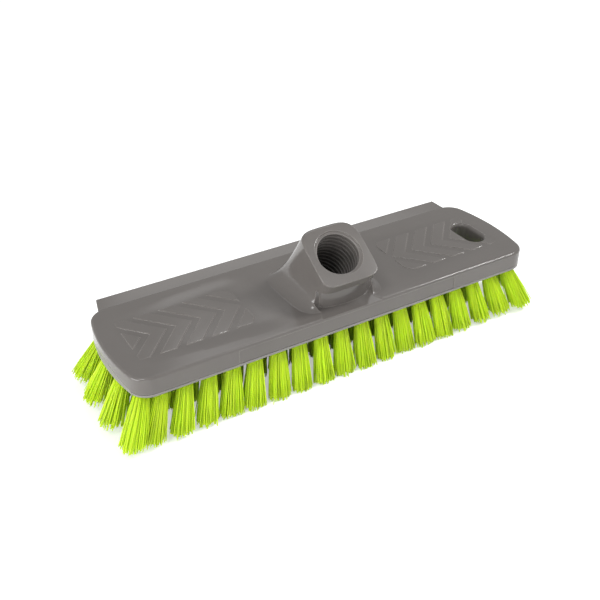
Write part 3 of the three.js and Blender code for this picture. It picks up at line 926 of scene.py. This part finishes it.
def tuft_body(place, tufts, block, dice):
    """One tuft: its filaments stand in a round hole and fan out to uneven tips."""
    bm = bmesh.new()
    of_filament = bm.verts.layers.int.new("filament")
    offset = bm.verts.layers.float_vector.new("offset")
    tone = bm.verts.layers.float.new("tone")
    along = bm.verts.layers.float.new("along")
    middle_tip = tuft_tip(place, tufts, block)
    spin_start = dice.uniform(0, 2 * math.pi)
    wider = tufts.end_fan * end_share(place, tufts, block)
    half_x = tufts.tip_spread * dice.uniform(*SWELL) + wider / END_FAN_ALONG
    half_y = tufts.tip_depth + wider
    drift = Vector((dice.uniform(-1, 1), dice.uniform(-1, 1))) * tufts.stray * DRIFT
    paths = []
    for i in range(tufts.filaments):
        out = math.sqrt((i + 0.5) / tufts.filaments)
        turn = spin_start + i * GOLDEN_TURN
        from_middle = Vector((math.cos(turn), math.sin(turn))) * out * tufts.root_spread
        loose = LOOSE_STRAY if dice.random() < LOOSE_SHARE else HELD_STRAY
        wander = Vector((dice.gauss(0, STRAY_WIDTH), dice.gauss(0, STRAY_WIDTH))) * tufts.stray * loose
        fan = Vector(rounded_oblong(turn, half_x, half_y, tufts.tip_squareness)) * out
        short = tufts.uneven * dice.random() ** SHORT_POWER
        root = Vector((*(place + from_middle), block.trim + FILAMENT_SEAT))
        tip = Vector((*(middle_tip.xy + drift + fan + wander), middle_tip.z + short))
        early = (fan - from_middle) * dice.uniform(*EARLY)
        paths.append(filament_path(root, tip, early.to_3d()))
        circle = bmesh.ops.create_circle(
            bm, cap_ends=False, radius=tufts.filament, segments=FILAMENT_SIDES)["verts"]
        shade = dice.random()
        twist = Matrix.Rotation(dice.uniform(0, math.pi / 2), 3, "Z")
        for vert in circle:
            vert[of_filament] = i
            vert[offset] = twist @ vert.co
            vert[tone] = shade
            vert.co = root + vert[offset]
    edges = bm.edges[:]
    for step in range(1, FILAMENT_STEPS + 1):
        edges, rings = next_ring(bm, edges)
        for vert in rings:
            vert[along] = step / FILAMENT_STEPS
            vert.co = paths[vert[of_filament]](step / FILAMENT_STEPS) + vert[offset]
    close_ends(bm)
    bm.verts.layers.int.remove(of_filament)
    bm.verts.layers.float_vector.remove(bm.verts.layers.float_vector["offset"])
    return bm


class BRUSH_OT_tufts(bpy.types.Operator):
    """Builds the four rows of bristle tufts, filament by filament"""
    bl_idname = "brush.tufts"
    bl_label = "Build tufts"

    def execute(self, context):
        scene = context.scene
        block, panel, tufts = scene.brush_block, scene.brush_panel, scene.brush_tufts
        material = filament_finish(scene.brush_colours)
        for number, (word, places) in enumerate(tuft_rows(tufts, panel, block).items()):
            dice = random.Random(FIRST_SEED + number)
            row = bmesh.new()
            for place in places:
                tuft = tuft_body(place, tufts, block, dice)
                spare = bpy.data.meshes.new("spare")
                tuft.to_mesh(spare)
                tuft.free()
                row.from_mesh(spare)
                bpy.data.meshes.remove(spare)
            piece = object_from(row, "tufts_" + word)
            finish_piece(piece, block, material, FILAMENT_SHARP)
            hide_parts("bristles_" + word)
        return {"FINISHED"}


# Anchors

ANCHOR_EDGE = 0.08 * MM


class BRUSH_OT_anchors(bpy.types.Operator):
    """Builds the inner rows' flat wire anchors and finishes those of the outer rows"""
    bl_idname = "brush.anchors"
    bl_label = "Build anchors"

    def execute(self, context):
        scene = context.scene
        block, panel, tufts = scene.brush_block, scene.brush_panel, scene.brush_tufts
        wire = scene.brush_anchors
        material = wire_finish(scene.brush_colours)
        bm = bmesh.new()
        level = block.trim + wire.lift + wire.height / 2
        turn = Matrix.Rotation(wire.turn, 3, "Z")
        places = all_places(tufts, panel, block)
        for place in (p for p in places if abs(p.y) <= tufts.inner_y + MERGE):
            made = bmesh.ops.create_cube(bm, size=1)["verts"]
            bmesh.ops.scale(bm, vec=(wire.length, wire.thickness, wire.height), verts=made)
            bmesh.ops.rotate(bm, cent=(0, 0, 0), matrix=turn, verts=made)
            bmesh.ops.translate(bm, vec=(place.x, place.y, level), verts=made)
        round_edges(bm, bm.edges[:], ANCHOR_EDGE, steps=2)
        anchors = object_from(bm, "tuft_anchors")
        finish_piece(anchors, block, material, SHARP)
        for name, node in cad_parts.items():
            if name.startswith("anchor_"):
                for slot in node.material_slots:
                    slot.material = material
        return {"FINISHED"}


# Nodes of the finishes

WEAR_AND_HIGHLIGHT_REACH = 0.7 * MM  # reach of the wear and painted highlight beside an edge


def feed(tree, node, values):
    """Gives a node's inputs their values or links."""
    for key, value in values.items():
        if isinstance(value, bpy.types.NodeSocket):
            tree.links.new(value, node.inputs[key])
        else:
            node.inputs[key].default_value = value


def put(tree, kind, values=None, **settings):
    """Adds a node with its settings, and values or links for its inputs."""
    made = tree.nodes.new(kind)
    for key, value in settings.items():
        setattr(made, key, value)
    feed(tree, made, values or {})
    return made


def calc(tree, operation, *values):
    return put(tree, "ShaderNodeMath", dict(enumerate(values)), operation=operation).outputs[0]


def ranged(tree, value, low=0, high=1, to_low=0, to_high=1, **settings):
    """Carries a value from one range over to another."""
    limits = {"From Min": low, "From Max": high, "To Min": to_low, "To Max": to_high}
    return put(tree, "ShaderNodeMapRange", {"Value": value, **limits}, **settings).outputs["Result"]


def noise(tree, vector, scale, detail, roughness=0.5):
    values = {"Vector": vector, "Scale": scale, "Detail": detail, "Roughness": roughness}
    return put(tree, "ShaderNodeTexNoise", values).outputs["Fac"]


def stretch(tree, vector, scale, rotation=(0, 0, 0)):
    """Stretches and turns a pattern's coordinates."""
    values = {"Vector": vector, "Rotation": rotation, "Scale": scale}
    return put(tree, "ShaderNodeMapping", values).outputs["Vector"]


def object_place(tree):
    return put(tree, "ShaderNodeTexCoord").outputs["Object"]


def bumped(tree, height, distance):
    values = {"Height": height, "Strength": 1.0, "Distance": distance}
    return put(tree, "ShaderNodeBump", values).outputs["Normal"]


def attribute(tree, name):
    return put(tree, "ShaderNodeAttribute", attribute_name=name).outputs["Fac"]


def blend(tree, factor, first, second):
    """Mix of two colours, each a constant or a link."""
    made = put(tree, "ShaderNodeMix", {0: factor}, data_type="RGBA")
    places = [i for i, socket in enumerate(made.inputs) if socket.type == "RGBA"]
    feed(tree, made, dict(zip(places, (first, second))))
    return next(socket for socket in made.outputs if socket.type == "RGBA")


def tint(tone, factor=1):
    return (*(min(1, c * factor) for c in tone), 1)


def new_group(name, inputs, outputs):
    """An empty node group that takes a vector and values, and the sockets to read them from."""
    group = bpy.data.node_groups.new(name, "ShaderNodeTree")
    group.interface.new_socket("Vector", in_out="INPUT", socket_type="NodeSocketVector")
    for key, value in inputs.items():
        socket = group.interface.new_socket(key, in_out="INPUT", socket_type="NodeSocketFloat")
        socket.default_value = value
    for key in outputs:
        group.interface.new_socket(key, in_out="OUTPUT", socket_type="NodeSocketFloat")
    return group, put(group, "NodeGroupInput").outputs


def moulded_surface():
    """Node group with the marks of moulded plastic: slow mottle, fine grain, faint scuffs, and lighter edges
    that are partly wear and partly painted highlight.
    """
    made = bpy.data.node_groups.get("moulded_surface")
    if made:
        return made
    scales = {"Mottle Scale": 60.0, "Grain Scale": 2200.0, "Scuff Scale": 160.0}
    group, start = new_group("moulded_surface", scales, ("Mottle", "Grain", "Scuff", "Edge"))
    mottle = noise(group, start["Vector"], start["Mottle Scale"], detail=3.0, roughness=0.55)
    grain = noise(group, start["Vector"], start["Grain Scale"], detail=2.0, roughness=0.6)
    drawn = stretch(group, start["Vector"], scale=(1.0, 7.0, 4.0), rotation=(0.3, 0.2, 0.5))
    scratch = noise(group, drawn, start["Scuff Scale"], detail=4.0, roughness=0.7)
    scuff = ranged(group, scratch, low=0.62, high=0.85)
    # Edge mask: it lightens the edges, partly as wear and partly as a painted highlight.
    rounded = put(group, "ShaderNodeBevel", {"Radius": WEAR_AND_HIGHLIGHT_REACH}, samples=4).outputs["Normal"]
    flat = put(group, "ShaderNodeNewGeometry").outputs["Normal"]
    facing = put(group, "ShaderNodeVectorMath", {0: rounded, 1: flat}, operation="DOT_PRODUCT")
    edge = ranged(group, facing.outputs["Value"], low=0.995, high=0.9)
    put(group, "NodeGroupOutput", {
        "Mottle": mottle, "Grain": grain, "Scuff": scuff, "Edge": calc(group, "MULTIPLY", edge, mottle)})
    return group


def painted_recess_shade():
    """Node group with a mask of the dishes round the chevrons, where shade is painted into the colour."""
    made = bpy.data.node_groups.get("painted_recess_shade")
    if made:
        return made
    limits = dict.fromkeys(("Top", "Depth", "Half", "Start"), 0.0)
    group, start = new_group("painted_recess_shade", limits, ("Mask",))
    axes = put(group, "ShaderNodeSeparateXYZ", {"Vector": start["Vector"]}).outputs
    deep = calc(group, "DIVIDE", calc(group, "SUBTRACT", start["Top"], axes["Z"]), start["Depth"])
    inside = ranged(group, deep, low=0.1, high=0.9)
    lower = calc(group, "LESS_THAN", deep, 1.1)
    near = calc(group, "LESS_THAN", calc(group, "ABSOLUTE", axes["Y"]), start["Half"])
    far = calc(group, "GREATER_THAN", calc(group, "ABSOLUTE", axes["X"]), start["Start"])
    both = calc(group, "MULTIPLY", calc(group, "MULTIPLY", lower, near), far)
    put(group, "NodeGroupOutput", {"Mask": calc(group, "MULTIPLY", inside, both)})
    return group


# Finishes

PLASTIC_IOR = 1.5
# The darker factor serves the random mottle and also the painted shade of the dishes.
DARK_MOTTLE_AND_SHADE, PALE_MOTTLE = 0.94, 1.06
SCUFF_SHARE, SCUFF_TINT, SCUFF_ROUGH = 0.15, 1.4, 0.1
# Edges are lightened partly as wear and partly as painted highlight.
WEAR_AND_HIGHLIGHT_SHARE, WEAR_AND_HIGHLIGHT_TINT = 0.9, 2.3
SMOOTH_MOTTLE, ROUGH_MOTTLE = 0.88, 1.12


def new_finish(name):
    material = bpy.data.materials.new(name)
    material.use_nodes = True
    tree = material.node_tree
    tree.nodes.clear()
    shader = put(tree, "ShaderNodeBsdfPrincipled")
    put(tree, "ShaderNodeOutputMaterial", {"Surface": shader.outputs["BSDF"]})
    return material, tree, shader


def plastic_finish(name, tone, rough, grain_height, scales, recess=None):
    """Moulded plastic: mottled colour, faint scuffs, edges lightened partly as wear and partly as painted
    highlight, fine grain, and painted shade in a given recess.
    """
    material, tree, shader = new_finish(name)
    place = object_place(tree)
    surface = put(tree, "ShaderNodeGroup", {"Vector": place, **scales}, node_tree=moulded_surface())
    marks = surface.outputs
    body = blend(tree, marks["Mottle"], tint(tone, DARK_MOTTLE_AND_SHADE), tint(tone, PALE_MOTTLE))
    # Painted shade: the dishes round the chevrons are darkened in the base colour.
    if recess:
        middle, limits = recess
        from_middle = put(tree, "ShaderNodeVectorMath", {0: place, 1: middle}, operation="SUBTRACT")
        shade_mask = put(tree, "ShaderNodeGroup", node_tree=painted_recess_shade())
        feed(tree, shade_mask, {"Vector": from_middle.outputs["Vector"], **limits})
        body = blend(tree, shade_mask.outputs["Mask"], body, tint(tone, DARK_MOTTLE_AND_SHADE))
    body = blend(tree, calc(tree, "MULTIPLY", marks["Scuff"], SCUFF_SHARE), body, tint(tone, SCUFF_TINT))
    # Painted highlight and wear: the edges are lightened in the base colour.
    body = blend(tree, calc(tree, "MULTIPLY", marks["Edge"], WEAR_AND_HIGHLIGHT_SHARE), body, tint(tone, WEAR_AND_HIGHLIGHT_TINT))
    polish = ranged(tree, marks["Mottle"], 0.3, 0.7, rough * SMOOTH_MOTTLE, rough * ROUGH_MOTTLE)
    feed(tree, shader, {
        "Base Color": body,
        "Roughness": calc(tree, "MULTIPLY_ADD", marks["Scuff"], SCUFF_ROUGH, polish),
        "Normal": bumped(tree, marks["Grain"], grain_height),
        "IOR": PLASTIC_IOR})
    return material


def cover_finish(colours, block, panel):
    limits = {
        "Top": block_top(block), "Depth": panel.dish_depth,
        "Half": panel.dish_half, "Start": panel.dish_start}
    return plastic_finish(
        "cover_plastic_finish", colours.cover, rough=0.15, grain_height=0.003 * MM,
        scales={"Mottle Scale": 55.0, "Grain Scale": 1800.0, "Scuff Scale": 150.0},
        recess=(block_middle(block), limits))


def plate_finish(colours):
    return plastic_finish(
        "plate_plastic_finish", colours.plate, rough=0.34, grain_height=0.008 * MM,
        scales={"Mottle Scale": 80.0, "Grain Scale": 1500.0, "Scuff Scale": 200.0})


def filament_finish(colours):
    """Lime filament: each one has its own tone, darker towards its hole as painted shade, and fine streaks.
    """
    material, tree, shader = new_finish("bristle_filament_finish")
    # Painted shade near the holes: the colour fades from the shaded root green to the filament green.
    fade = ranged(tree, attribute(tree, "along"), low=0.05, high=0.5, interpolation_type="SMOOTHSTEP")
    length = blend(tree, fade, tint(colours.filament_root_shade), tint(colours.filament))
    each = ranged(tree, attribute(tree, "tone"), to_low=0.93, to_high=1.06)
    varied = put(tree, "ShaderNodeVectorMath", {0: length, "Scale": each}, operation="SCALE")
    drawn = stretch(tree, object_place(tree), scale=(1.0, 1.0, 0.06))
    streak = noise(tree, drawn, scale=5000.0, detail=2.0)
    feed(tree, shader, {
        "Base Color": varied.outputs[0],
        "Roughness": ranged(tree, streak, to_low=0.45, to_high=0.6),
        "Normal": bumped(tree, streak, distance=0.01 * MM),
        "IOR": PLASTIC_IOR,
        "Specular IOR Level": 0.25,
        "Subsurface Weight": 0.6,
        "Subsurface Radius": (1.0, 1.0, 0.25),
        "Subsurface Scale": 0.8 * MM})
    return material


def wire_finish(colours):
    """Bright flat wire with drawn streaks."""
    material, tree, shader = new_finish("anchor_wire_finish")
    drawn = stretch(tree, object_place(tree), scale=(0.1, 1.0, 4.0))
    streak = noise(tree, drawn, scale=3000.0, detail=2.0)
    feed(tree, shader, {
        "Base Color": blend(tree, streak, tint(colours.wire, 0.85), tint(colours.wire, 1.1)),
        "Roughness": ranged(tree, streak, to_low=0.25, to_high=0.45),
        "Metallic": 1.0})
    return material


# Stage

FLOOR_HALF = 4.0
CAMERA_GLOW = 0.44  # light of the floor itself, as the camera sees it
MIRROR_GLOW = 0.34  # the same, as reflections see it
WORLD_LIGHT = 0.55
LAMP_AIM = Vector((0, 0, 0.03))
LAMPS = {  # place, width, height and watts
    "back_right": ((0.45, 0.65, 0.95), 0.6, 0.5, 1.15),
    "key_left": ((-0.8, -0.15, 0.15), 0.5, 0.25, 3.1),
    "upper_left": ((-0.5, -0.25, 0.8), 0.25, 0.25, 1.7),
    "front_low": ((-0.5, -0.87, 0.12), 0.5, 0.2, 1.5),
    "edge_right": ((0.62, -0.25, 0.75), 0.2, 0.2, 3.8),
    "edge_middle": ((0.33, -0.3, 0.85), 0.2, 0.2, 0.7),
}
LENS, SENSOR = 51.07, 36.0
CAMERA_EYE = Vector((-0.1885, -0.2959, 0.2546))  # from the block's middle, as the next one
CAMERA_AIM = Vector((-0.0176, -0.01088, 0.0364))


def floor_finish(colours):
    """White floor: it keeps the brush's shadow, and its own light brings it up to white for the camera."""
    material, tree, shader = new_finish("floor_finish")
    path = put(tree, "ShaderNodeLightPath").outputs
    bent = calc(tree, "MAXIMUM", path["Is Glossy Ray"], path["Is Transmission Ray"])
    mirrored = calc(tree, "MULTIPLY", bent, MIRROR_GLOW)
    feed(tree, shader, {
        "Base Color": tint(colours.floor),
        "Roughness": 0.9,
        "Specular IOR Level": 0.0,
        "Emission Color": (1, 1, 1, 1),
        "Emission Strength": calc(tree, "MULTIPLY_ADD", path["Is Camera Ray"], CAMERA_GLOW, mirrored)})
    return material


def white_world(scene):
    """White for the camera, and a plain grey light for the rest."""
    world = bpy.data.worlds.new("studio_world")
    scene.world = world
    world.use_nodes = True
    tree = world.node_tree
    tree.nodes.clear()
    path = put(tree, "ShaderNodeLightPath").outputs
    strength = ranged(tree, path["Is Camera Ray"], to_low=WORLD_LIGHT, to_high=1.0)
    light = put(tree, "ShaderNodeBackground", {"Strength": strength})
    put(tree, "ShaderNodeOutputWorld", {"Surface": light.outputs["Background"]})


def set_up(scene, name, data, place, target):
    """Puts a lamp or a camera at a place, turned to a target."""
    holder = bpy.data.objects.new(name, data)
    holder.location = place
    holder.rotation_euler = (target - Vector(place)).to_track_quat("-Z", "Y").to_euler()
    scene.collection.objects.link(holder)
    return holder


def soft_box(name, width, height, power):
    """Rectangular studio lamp."""
    lamp = bpy.data.lights.new(name, "AREA")
    lamp.shape = "RECTANGLE"
    lamp.size = width
    lamp.size_y = height
    lamp.energy = power
    return lamp


class BRUSH_OT_stage(bpy.types.Operator):
    """Sets the floor, the studio light and the camera"""
    bl_idname = "brush.stage"
    bl_label = "Set stage"

    def execute(self, context):
        scene = context.scene
        bm = bmesh.new()
        bmesh.ops.create_grid(bm, x_segments=8, y_segments=8, size=FLOOR_HALF)
        floor = object_from(bm, "floor")
        floor.data.materials.append(floor_finish(scene.brush_colours))
        white_world(scene)
        for name, (place, width, height, power) in LAMPS.items():
            set_up(scene, name, soft_box(name, width, height, power), place, LAMP_AIM)
        camera = bpy.data.cameras.new("photo_camera")
        camera.lens = LENS
        camera.sensor_width = SENSOR
        camera.clip_start = 10 * MM
        middle = block_middle(scene.brush_block)
        scene.camera = set_up(scene, "photo_camera", camera, middle + CAMERA_EYE, middle + CAMERA_AIM)
        scene.view_settings.view_transform = "Standard"
        return {"FINISHED"}


OPERATORS = (BRUSH_OT_cover, BRUSH_OT_plate, BRUSH_OT_tufts, BRUSH_OT_anchors, BRUSH_OT_stage)


class BRUSH_PT_panel(bpy.types.Panel):
    """Lists the builders of the brush head"""
    bl_idname = "BRUSH_PT_panel"
    bl_label = "Floor scrub brush head"
    bl_space_type = "VIEW_3D"
    bl_region_type = "UI"
    bl_category = "Brush"

    def draw(self, context):
        for operator in OPERATORS:
            self.layout.operator(operator.bl_idname)


def register():
    for cls in (*GROUPS.values(), *OPERATORS, BRUSH_PT_panel):
        bpy.utils.register_class(cls)
    for name, group in GROUPS.items():
        setattr(bpy.types.Scene, name, PointerProperty(type=group))


def unregister():
    for name in GROUPS:
        delattr(bpy.types.Scene, name)
    for cls in (BRUSH_PT_panel, *reversed(OPERATORS), *reversed(list(GROUPS.values()))):
        bpy.utils.unregister_class(cls)


def main():
    register()
    bpy.ops.brush.stage()
    bpy.ops.brush.cover()
    bpy.ops.brush.plate()
    bpy.ops.brush.tufts()
    bpy.ops.brush.anchors()


if __name__ == "__main__":
    main()
